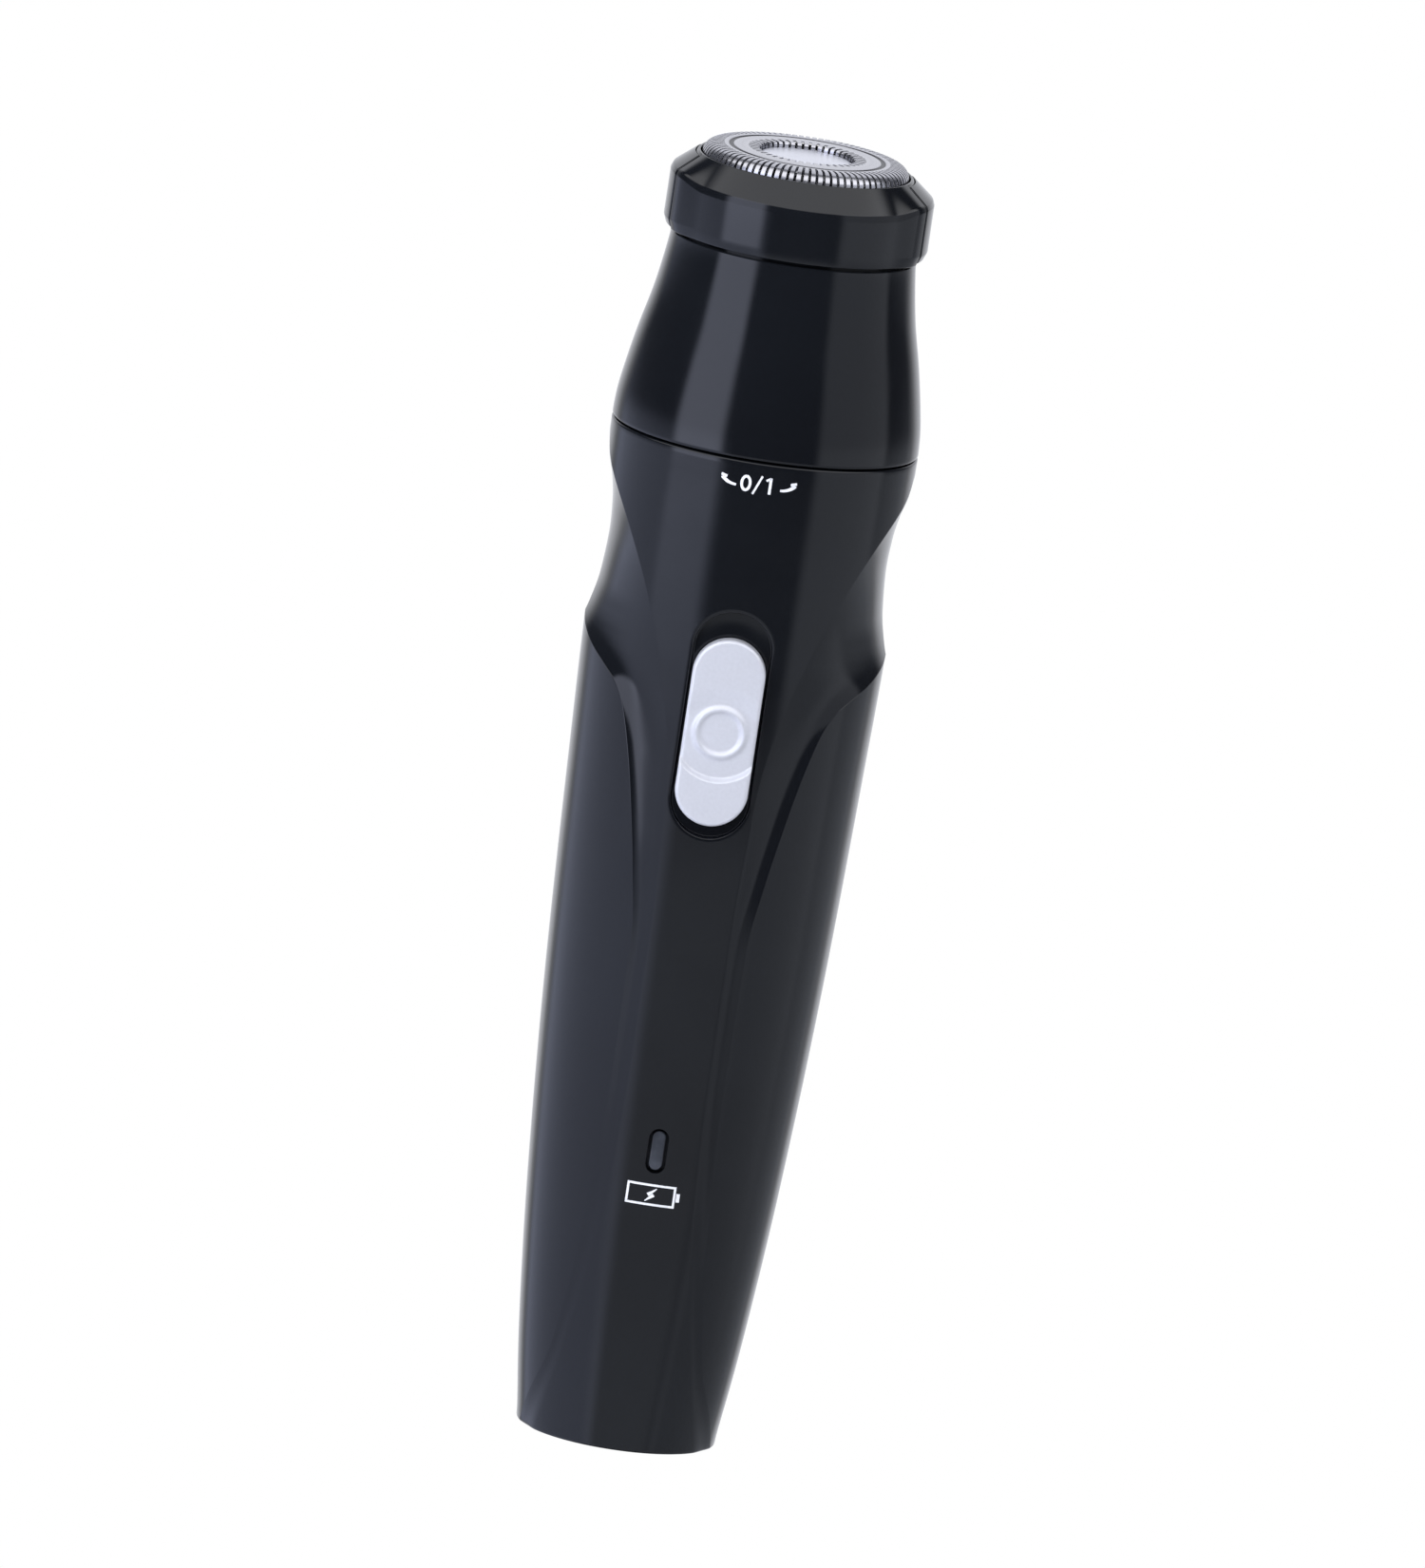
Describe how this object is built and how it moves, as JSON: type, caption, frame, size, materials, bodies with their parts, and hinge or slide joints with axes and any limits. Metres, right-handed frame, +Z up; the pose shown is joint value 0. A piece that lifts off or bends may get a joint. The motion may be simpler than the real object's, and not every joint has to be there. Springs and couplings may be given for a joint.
{
  "type": "rotary foil shaver",
  "caption": "Cordless grooming handle with a round rotary foil head, slide switch, charge window and twist-off head.",
  "frame": {"origin": "centre of the flat foot, on the surface it stands on", "axes": "+Z up along the handle to the shaving foil, -Y towards the slide switch, +X to the right seen from the switch side"},
  "size_m": [0.0354, 0.0358, 0.1507],
  "materials": {
    "black_gloss": "polished black plastic",
    "black_matt": "moulded black plastic",
    "grey_plastic": "moulded grey plastic",
    "white_plastic": "natural acetal",
    "satin_silver": "satin silver coat on plastic",
    "steel": "bright stainless steel",
    "nickel_plate": "nickel plated",
    "brass": "plain brass",
    "cell_sleeve": "plain green sleeve",
    "board_green": "solder resist",
    "ferrite": "sintered ferrite",
    "copper_winding": "enamelled copper winding",
    "black_rubber": "moulded rubber",
    "smoked_lens": "smoked clear plastic",
    "red_lead": "flexible insulation",
    "black_lead": "flexible insulation"
  },
  "bodies": {
    "handle": {"front_shell": "black_gloss", "back_shell": "black_gloss", "neck_collar": "grey_plastic", "neck_seal": "black_rubber", "battery_cradle": "grey_plastic", "battery_cell": "cell_sleeve", "battery_tab_positive": "nickel_plate", "battery_tab_negative": "nickel_plate", "battery_lead_red": "red_lead", "battery_lead_black": "black_lead", "motor_lead_red": "red_lead", "motor_lead_black": "black_lead", "circuit_board": "board_green", "charge_led": "white_plastic", "charge_lens": "smoked_lens", "charging_socket": "black_matt", "socket_pin": "nickel_plate", "switch_board": "board_green", "motor_can": "steel", "motor_end_cap": "black_matt", "magnet_left": "ferrite", "magnet_right": "ferrite", "motor_screw_left": "steel", "motor_screw_right": "steel"},
    "switch": {"slide_button": "satin_silver", "switch_carrier": "grey_plastic", "moving_contact": "brass"},
    "rotor": {"motor_shaft": "steel", "armature": "copper_winding", "motor_coupling": "white_plastic"},
    "lock": {"lock_ring": "grey_plastic"},
    "head": {"head_housing": "black_gloss", "head_base": "black_matt", "head_deck": "black_matt", "spindle_bush": "brass"},
    "spindle": {"drive_spindle": "white_plastic", "spindle_spring": "steel"},
    "plunger": {"spindle_plunger": "white_plastic"},
    "cap": {"cap_ring": "black_gloss", "cutter_retainer": "black_matt"},
    "tab_right": {"release_tab_right": "black_gloss"},
    "tab_left": {"release_tab_left": "black_gloss"},
    "foil": {"shaving_foil": "steel", "foil_badge": "satin_silver"},
    "cutter": {"inner_cutter": "steel", "cutter_hub": "white_plastic"}
  },
  "joints": [
    {"name": "power_slide", "type": "slide", "parent": "handle", "child": "switch", "axis": [0, 0, 1], "range_m": [0, 0.0026]},
    {"name": "motor_spin", "type": "hinge", "parent": "handle", "child": "rotor", "pos_m": [0, 0, 0], "axis": [0, 0, 1], "continuous": true},
    {"name": "head_twist", "type": "hinge", "parent": "handle", "child": "lock", "pos_m": [0, 0, 0.119], "axis": [0, 0, 1], "range_deg": [0, 30]},
    {"name": "head_lift", "type": "slide", "parent": "lock", "child": "head", "axis": [0, 0, 1], "range_m": [0, 0.025]},
    {"name": "spindle_spin", "type": "hinge", "parent": "head", "child": "spindle", "pos_m": [0, 0, 0.13], "axis": [0, 0, 1], "continuous": true},
    {"name": "plunger_slide", "type": "slide", "parent": "spindle", "child": "plunger", "axis": [0, 0, 1], "range_m": [-0.0008, 0], "deforming": ["spindle_spring"]},
    {"name": "cap_lift", "type": "slide", "parent": "head", "child": "cap", "axis": [0, 0, 1], "range_m": [0, 0.015]},
    {"name": "tab_right_flex", "type": "hinge", "parent": "cap", "child": "tab_right", "pos_m": [0.013, 0, 0.1493], "axis": [0, 1, 0], "range_deg": [0, 2], "stiffness_Nm_per_rad": 0.3, "springref_deg": -1.72},
    {"name": "tab_left_flex", "type": "hinge", "parent": "cap", "child": "tab_left", "pos_m": [-0.013, 0, 0.1493], "axis": [0, -1, 0], "range_deg": [0, 2], "stiffness_Nm_per_rad": 0.3, "springref_deg": -1.72},
    {"name": "foil_float", "type": "slide", "parent": "cap", "child": "foil", "axis": [0, 0, 1], "range_m": [-0.0008, 0], "stiffness_N_per_m": 600, "springref_m": 0.0005},
    {"name": "cutter_spin", "type": "hinge", "parent": "foil", "child": "cutter", "pos_m": [0, 0, 0.148], "axis": [0, 0, 1], "continuous": true}
  ],
  "couplings": [
    {"joint": "spindle_spin", "follows": "motor_spin", "ratio": 1},
    {"joint": "cutter_spin", "follows": "motor_spin", "ratio": 1},
    {"joint": "plunger_slide", "follows": "foil_float", "ratio": 1}
  ]
}
